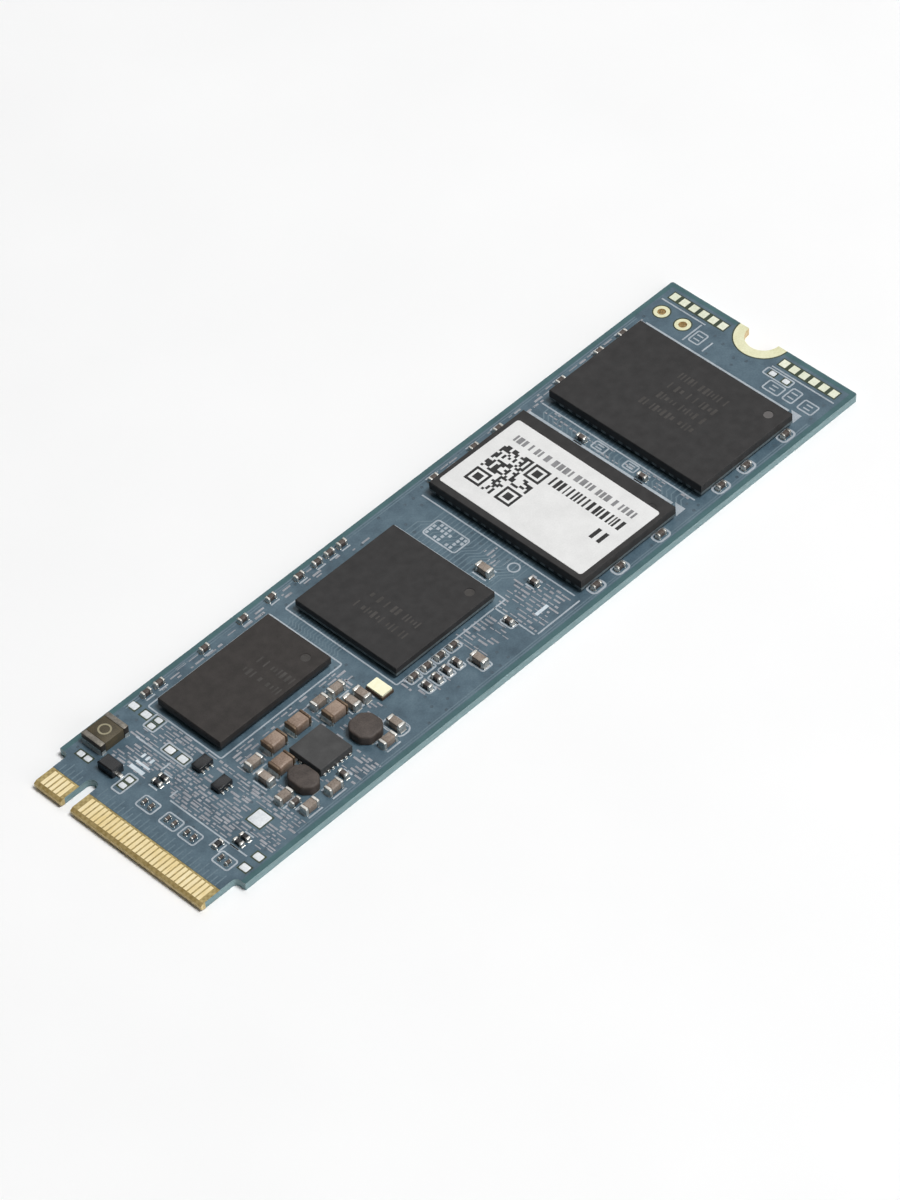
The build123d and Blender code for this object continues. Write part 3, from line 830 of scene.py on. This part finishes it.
# Bare pads swell with solder towards their middle
pads = bmesh.new()
for low, high in solid_boxes("bare_pads"):
    outlines = []
    for inset_share, height_share in pad_profile:
        inset = inset_share * pad_crown * min(high.x - low.x, high.y - low.y)
        outline = rounded_outline(low.x + inset, low.y + inset, high.x - inset, high.y - inset, pad_corner)
        outlines.append(at_height(outline, low.z + height_share * (high.z - low.z)))
    stack(pads, outlines)
add_piece("bare_pads_tinned", pads, "bright_solder", ["bare_pads"], smooth=True)

# A printed ring on the fuse
fuse_ring = bmesh.new()
fuse_low, fuse_high = box_of("input_fuse")
ring(fuse_ring, middle_of(fuse_low, fuse_high).xy, fuse_ring_radii, fuse_ring_turn, mark_height, fuse_high.z)
add_piece("fuse_ring_mark", fuse_ring, "fuse_mark")

# Openings in the paint round gold and bare pads, the drilled holes and the screw notch
windows = bmesh.new()
service_boxes = solid_boxes("service_pads")
openings = [[box] for box in solid_boxes("bare_pads")]
openings.append([box for box in service_boxes if box[0].y > 0])
openings.append([box for box in service_boxes if box[0].y < 0])
for boxes in openings:
    layer(windows, rectangle(*group_box(boxes, window_margin)), window_height)
for low, high in solid_boxes("header_eyelets"):
    radius = (high.x - low.x) / 2
    radii = (radius + window_margin, radius)
    ring(windows, middle_of(low, high).xy, radii, circle_turn, window_height)
ring_low, ring_high = box_of("mounting_ring")
ring_radius = ring_high.x - ring_low.x
outer = arc(far_x, 0, ring_radius + window_margin, *half_turn)
inner = arc(far_x, 0, ring_radius, *half_turn)
layer(windows, outer + inner[::-1], window_height)
add_piece("paint_openings", windows, "bare_windows")

# Copper tracks under the paint
tracks = bmesh.new()


def run_tracks(points, count=1, step=(0, 0)):
    """The same track several times, each shifted by a step."""
    for i in range(count):
        shift = Vector(step) * i
        layer(tracks, ribbon([Vector(point) + shift for point in points], track_width), trace_height)


def across_gap(near, far, count, margin, jog):
    """Tracks along the board between two packages, with a slanting jog half-way."""
    near_low, near_high = box_of(f"{near}_substrate")
    far_low, far_high = box_of(f"{far}_substrate")
    start_y = max(near_low.y, far_low.y) + margin
    end_y = min(near_high.y, far_high.y) - margin
    middle_x = (near_high.x + far_low.x) / 2
    step = (end_y - start_y - abs(jog)) / (count - 1)
    first_y = start_y - min(jog, 0)
    points = [(near_high.x - track_overlap, first_y), (middle_x - abs(jog) / 2, first_y),
              (middle_x + abs(jog) / 2, first_y + jog), (far_low.x + track_overlap, first_y + jog)]
    run_tracks(points, count, (0, step))


across_gap("memory", "controller", 17, 0.4, 0.35)
across_gap("controller", "flash_front", 22, 0.5, -0.9)
across_gap("flash_front", "flash_rear", 30, 0.6, 0.5)
flash_low, flash_high = box_of("flash_rear_substrate")
side_start = box_of("memory_substrate")[0].x - side_track_near
side_end = flash_high.x + side_track_far
for side_y, inward in ((left_y, -1), (right_y, 1)):
    y = side_y + inward * side_track_inset
    run_tracks([(side_start, y), (side_end, y)], 2, (0, inward * side_track_pitch))
for i, (low, high) in enumerate(solid_boxes("contacts_top")):
    y = (low.y + high.y) / 2
    start_x = high.x + contact_track_gap
    run_tracks([(start_x, y), (start_x + contact_track_lengths[i % 2], y)])
add_piece("painted_tracks", tracks, "painted_copper")

# Vias at random free places
vias = bmesh.new()
via_places = []
for attempt in range(via_tries):
    x = draw.uniform(front_x + via_near, far_x - via_far)
    y = draw.uniform(right_y + via_side, left_y - via_side)
    crowded = any(abs(x - a) < via_spacing and abs(y - b) < via_spacing for a, b in via_places)
    if crowded or not is_free(x - via_radius, y - via_radius, x + via_radius, y + via_radius, via_clearance):
        continue
    via_places.append((x, y))
    lathe(vias, x, y, top, via_profile, via_segments)
    if len(via_places) == via_count:
        break
add_piece("tented_vias", vias, "painted_vias", smooth=True)

# Silk printing
lines = bmesh.new()
strokes = bmesh.new()
bright_lines = bmesh.new()


def silk_bar(shape, start, end, width=silk_line, height=silk_height):
    layer(shape, ribbon([start, end], width), height)


def silk_frame(x0, y0, x1, y1, corner=frame_corner, width=silk_line):
    """A printed rectangle with round corners."""
    outer = rounded_outline(x0, y0, x1, y1, corner + width)
    inner = rounded_outline(x0 + width, y0 + width, x1 - width, y1 - width, corner)
    band(lines, outer, inner, silk_height)


def plug_bar(shape, start, end, width=silk_line):
    """A printed bar, with x counted from the plug edge."""
    silk_bar(shape, (front_x + start[0], start[1]), (front_x + end[0], end[1]), width)


for name in ("controller", "memory"):
    low, high = box_of(f"{name}_substrate")
    near = package_near_gap
    far = package_far_gap
    silk_frame(low.x - near, low.y - near, high.x + far, high.y + far)
for name in flash_names:
    low, high = box_of(f"{name}_substrate")
    near_x = low.x - package_near_gap
    line_x = high.x + flash_far_gap
    corner_x = line_x + thick_line
    corner_y = low.y + flash_corner_gap
    thick_start = corner_y + flash_corner + flash_corner_gap
    silk_bar(lines, (near_x, low.y + flash_line_inset), (near_x, high.y + flash_line_past))
    silk_bar(lines, (line_x, thick_start), (line_x, high.y + thick_line_past), thick_line)
    corner = [(corner_x, corner_y), (corner_x, corner_y + flash_corner), (corner_x - flash_corner, corner_y)]
    layer(lines, corner, silk_height)


def part_boxes(body_node):
    """Box of each two-ended part, its two ends taken in."""
    boxes = []
    ends = solid_boxes(metal_of(body_node, "ends"))
    for low, high in solid_boxes(body_node):
        middle = middle_of(low, high)
        pair = sorted(ends, key=lambda box: (middle_of(*box) - middle).length)[:2]
        lows, highs = zip((low, high), *pair)
        boxes.append((Vector(map(min, *lows)), Vector(map(max, *highs))))
    return boxes


def frame_round(boxes, gap, corner, width=silk_line):
    """A printed frame round a group of boxes."""
    silk_frame(*group_box(boxes, gap), corner, width)


# Frames round the lane capacitors in pairs, and brackets or rings round the other small parts
controller_low, controller_high = box_of("controller_substrate")
lane_parts = sorted(part_boxes("coupling_capacitors"), key=lambda box: box[0].y)
for pair in zip(lane_parts[::2], lane_parts[1::2]):
    frame_round(pair, lane_frame_gap, lane_frame_corner)
for body_node in ("filter_capacitors", "decoupling_capacitors", "resistors"):
    for low, high in part_boxes(body_node):
        if low.x > flash_low.x - flash_row_reach and high.y < flash_low.y:
            frame_round([(low, high)], ring_gap, ring_corner, ring_line)
            continue
        along_controller = low.x > controller_low.x - controller_row_reach and high.x < controller_high.x
        if along_controller and high.y < controller_low.y:
            frame_round([(low, high)], part_frame_gap, frame_corner, part_frame_line)
            continue
        gap = part_frame_gap
        if high.x - low.x > high.y - low.y:
            sides = [((low.x, y), (high.x, y)) for y in (low.y - gap, high.y + gap)]
        else:
            sides = [((x, low.y), (x, high.y)) for x in (low.x - gap, high.x + gap)]
        for start, end in sides:
            if bar_is_free(start, end, silk_line, 0.0):
                silk_bar(lines, start, end)

ring_spot = Vector((front_x + ringed_place[0], ringed_place[1]))
ringed = min(part_boxes("filter_capacitors"), key=lambda box: (middle_of(*box).xy - ring_spot).length)
frame_round([ringed], ringed_gap, ringed_corner)

# Frames of places with nothing fitted, with two bars inside, as x from the plug edge and y
empty_frames = (
    (75.0, -5.95, 76.35, -4.0), (75.1, -7.5, 76.9, -6.25), (75.1, -9.75, 76.5, -8.0),
    (75.2, 3.65, 76.85, 4.95), (59.45, 0.7, 60.5, 2.3), (59.45, -2.9, 60.5, -1.4),
)
for x0, y0, x1, y1 in empty_frames:
    silk_frame(front_x + x0, y0, front_x + x1, y1)
    middle_y = (y0 + y1) / 2
    third = (x1 - x0) / 3
    for x in (x0 + third, x1 - third):
        plug_bar(lines, (x, middle_y - empty_bar / 2), (x, middle_y + empty_bar / 2))

# Frames round groups of bare pads, and separate lines, as x from the plug edge and y
pad_frames = (
    (76.45, -6.0, 77.5, -2.8), (3.75, 3.5, 6.05, 4.75), (9.4, 1.75, 10.6, 4.75), (10.3, 6.4, 12.15, 7.8),
)
for x0, y0, x1, y1 in pad_frames:
    silk_frame(front_x + x0, y0, front_x + x1, y1)
separate_lines = (
    ((77.7, 4.95), (77.7, 10.2)), ((77.7, -10.2), (77.7, -3.0)), ((74.9, 5.2), (77.5, 5.2)),
    ((74.95, 2.9), (76.4, 2.9)), ((6.15, -9.0), (6.15, 0.0)), ((6.4, 0.3), (7.3, 0.3)),
    ((9.15, 3.2), (9.15, 7.2)), ((7.9, 2.95), (9.0, 2.95)), ((6.2, 5.6), (6.2, 7.4)),
    ((40.0, -9.75), (45.2, -9.75)), ((39.75, -9.6), (39.75, -4.9)),
)
for start, end in separate_lines:
    plug_bar(lines, start, end)
ring(lines, (front_x + 44.3, -2.9), hole_mark_radii, circle_turn, silk_height)


def stroke_field(x0, y0, x1, y1, pitch, along, share):
    """Broken printed strokes side by side on a share of the free board."""
    runs = (front_x + x0, front_x + x1)
    sides = (y0, y1)
    if along == "y":
        runs, sides = sides, runs
    for row in range(int((sides[1] - sides[0]) / pitch)):
        beside = sides[0] + (row + 0.5) * pitch
        run = runs[0] + draw.uniform(0, stroke_lengths[1])
        while run < runs[1]:
            length = draw.uniform(*stroke_lengths)
            place = beside + draw.uniform(-stroke_sway, stroke_sway)
            width = draw.choice(stroke_widths)
            ends = [(run, place), (run + length, place)]
            if along == "y":
                ends = [end[::-1] for end in ends]
            if bar_is_free(*ends, width, stroke_clearance) and draw.random() < share:
                silk_bar(strokes, *ends, width, stroke_height)
            run += length + draw.uniform(*stroke_gaps)


# Fields of strokes: x from the plug edge and y of two corners, pitch, direction and share
stroke_fields = (
    (6.3, -10.3, 12.3, 7.5, 0.34, "y", 0.95), (12.4, -1.6, 25.5, 0.3, 0.4, "x", 0.65),
    (12.3, -8.0, 25.6, -1.6, 0.4, "y", 0.6), (15.8, -10.4, 20.9, -7.9, 0.34, "y", 0.95),
    (28.0, -8.3, 39.6, -4.9, 0.42, "y", 0.8), (39.9, -9.6, 45.4, -4.6, 0.46, "y", 0.9),
    (41.4, -2.2, 45.3, 0.8, 0.45, "x", 0.5), (59.3, -8.6, 60.7, 8.8, 0.45, "y", 0.35),
    (12.6, 9.2, 26.2, 10.4, 0.36, "x", 0.45), (28.6, 8.7, 38.0, 10.4, 0.36, "x", 0.35),
    (46.4, 9.1, 74.0, 10.4, 0.36, "x", 0.6),
)
for field in stroke_fields:
    stroke_field(*field)

# Boxed mark beside the front flash package: columns of generic blocks
mark_low = (front_x + 42.0, 2.0)
mark_high = (front_x + 44.2, 6.0)
mark_corner = 0.2
mark_columns = 4
mark_rows = 8
mark_pitch = 0.47
mark_inset = (0.4, 0.36)
mark_share = 0.6
block_length = 0.32
block_width = 0.28
silk_frame(*mark_low, *mark_high, mark_corner)
for column in range(mark_columns):
    for row in range(mark_rows):
        if draw.random() < mark_share:
            x = mark_low[0] + mark_inset[0] + column * mark_pitch
            y = mark_low[1] + mark_inset[1] + row * mark_pitch
            silk_bar(lines, (x - block_length / 2, y), (x + block_length / 2, y), block_width)

# Bright bars by the clamp diode and beside the front flash package, as two ends and a width
bright_bars = (
    ((6.65, 3.7), (6.65, 5.3), 0.4), ((7.32, 3.7), (7.32, 5.3), 0.24), ((41.5, -8.1), (43.0, -8.1), 0.34),
    ((7.85, 4.2), (8.35, 4.2), 0.26), ((7.85, 4.7), (8.35, 4.7), 0.26), ((7.85, 5.2), (8.35, 5.2), 0.26),
)
for start, end, width in bright_bars:
    plug_bar(bright_lines, start, end, width)
add_piece("silk_printing", lines, "printed_lines")
add_piece("silk_strokes", strokes, "printed_strokes")
add_piece("bright_silk_printing", bright_lines, "bright_printed_lines")

# Label: a thin sheet laid a little askew, with generic print
label_low, label_high = box_of("flash_label")
package_low, package_high = box_of("flash_front_mould")
label_length = package_high.x - package_low.x - 2 * label_end_margin
label_width = package_high.y - package_low.y - 2 * label_side_margin
label_top = label_low.z + label_thickness
lay = Matrix.Translation(middle_of(label_low, label_high)) @ turned(label_turn, "Z")


def on_label(outline):
    """Points of the label's own plane as places on the part."""
    return [(lay @ Vector((u, v, 0))).xy for u, v in outline]


sheet = bmesh.new()
outlines = []
for inset, z in ((0.0, label_low.z), (0.0, label_top - label_edge / 2), (label_edge, label_top)):
    half_u = label_length / 2 - inset
    half_v = label_width / 2 - inset
    outline = rounded_outline(-half_u, -half_v, half_u, half_v, label_corner, label_corner_steps)
    outlines.append(at_height(on_label(outline), z))
stack(sheet, outlines)
add_piece("label_sheet", sheet, "label_paper", ["flash_label"])

black_print = bmesh.new()
grey_print = bmesh.new()


def label_block(shape, u0, v0, u1, v1):
    layer(shape, on_label(rectangle(u0, v0, u1, v1)), print_height, label_top, layer_sink / 2)


finder_corners = ((0, 0), (0, code_modules - code_finder), (code_modules - code_finder, 0))


def code_dark(column, row):
    """One module of a made-up code: three square corners and a random field."""
    half = code_finder // 2
    for corner_column, corner_row in finder_corners:
        across = column - corner_column
        rise = row - corner_row
        if -1 <= across <= code_finder and -1 <= rise <= code_finder:
            return max(abs(across - half), abs(rise - half)) in (0, 1, half)
    return draw.random() < code_share


for column in range(code_modules):
    run_start = None
    for row in range(code_modules + 1):
        dark = row < code_modules and code_dark(column, row)
        if dark and run_start is None:
            run_start = row
        if not dark and run_start is not None:
            u0 = code_u + column * code_module
            label_block(black_print, u0, code_v + run_start * code_module,
                        u0 + code_module, code_v + row * code_module)
            run_start = None


def bar_row(shape, u0, u1, v_start, v_end, widths, gaps):
    """A row of bars of mixed widths in place of print."""
    v = v_start
    while v > v_end:
        width = draw.choice(widths)
        label_block(shape, u0, v - width, u1, v)
        v -= width + draw.choice(gaps)


bar_row(black_print, 0.95, 2.1, 1.1, -7.3, (0.14, 0.22, 0.36, 0.5), (0.14, 0.22, 0.3))
bar_row(grey_print, 2.8, 3.6, 7.1, -7.2, (0.22, 0.34, 0.5), (0.15, 0.2, 0.45))
for v in short_bar_places:
    label_block(black_print, short_bar_ends[0], v, short_bar_ends[1], v + short_bar_width)
add_piece("label_black_print", black_print, "black_print")
add_piece("label_grey_print", grey_print, "grey_print")

# Faint generic strokes and corner dots on the moulded packages
chip_marks = bmesh.new()


def chip_rows(node, middle_u, middle_v, rows, row_step, reach):
    """Rows of short strokes across a package, from its middle."""
    low, high = box_of(node)
    middle = middle_of(low, high)
    for row in range(rows):
        x = middle.x + middle_u + (row - (rows - 1) / 2) * row_step
        y = middle.y + middle_v - reach
        while y < middle.y + middle_v + reach:
            width = draw.choice(chip_stroke_widths)
            half = draw.choice(chip_stroke_halves)
            layer(chip_marks, rectangle(x - half, y, x + half, y + width), mark_height, high.z)
            y += width + draw.choice(chip_stroke_gaps)


chip_rows("flash_rear_mould", 0.8, -1.0, 4, 1.5, 2.9)
chip_rows("controller_mould", -2.0, -1.0, 2, 1.6, 3.0)
chip_rows("memory_mould", 1.5, -1.4, 2, 1.6, 2.0)
corner_dots = bmesh.new()
corner_dot = ((0.0, -layer_sink), (corner_dot_radius, -layer_sink),
              (corner_dot_radius, mark_height), (0.0, mark_height))
for name in package_names[1:]:
    low, high = box_of(f"{name}_mould")
    shape = corner_dots if name in flash_names else chip_marks
    x = high.x - corner_dot_inset
    y = low.y + corner_dot_inset
    lathe(shape, x, y, high.z - corner_dot_depth, corner_dot, corner_dot_segments)
add_piece("chip_marks", chip_marks, "laser_marks")
add_piece("flash_corner_dots", corner_dots, "pale_dots")

# Studio
floor_shape = bmesh.new()
bmesh.ops.create_grid(floor_shape, x_segments=1, y_segments=1, size=floor_size * MM / 2)
floor = mesh_object("floor", floor_shape, "studio_floor")
floor.location.z = -floor_drop * MM

for name, direction, distance, size, power in lamps:
    lamp_data = bpy.data.lights.new(name, "AREA")
    lamp_data.energy = power
    lamp_data.size = size * MM
    lamp = new_object(name, lamp_data)
    lamp.location = Vector(direction).normalized() * distance * MM
    lamp.rotation_euler = Vector(direction).to_track_quat("Z", "Y").to_euler()

world = bpy.data.worlds.new("studio")
world.use_nodes = True
sky = world.node_tree.nodes["Background"]
sky.inputs["Color"].default_value = (1.0, 1.0, 1.0, 1.0)
sky.inputs["Strength"].default_value = sky_strength
bpy.context.scene.world = world
bpy.context.scene.view_settings.view_transform = "Standard"

camera_turn = turned(camera_azimuth - 90, "Z") @ turned(90 - camera_drop, "X") @ turned(-camera_roll, "Z")
camera_data = bpy.data.cameras.new("camera")
camera_data.lens = camera_lens
camera_data.sensor_width = camera_sensor
camera = new_object("camera", camera_data)
camera.matrix_world = Matrix.Translation(Vector(camera_eye) * MM) @ camera_turn
bpy.context.scene.camera = camera
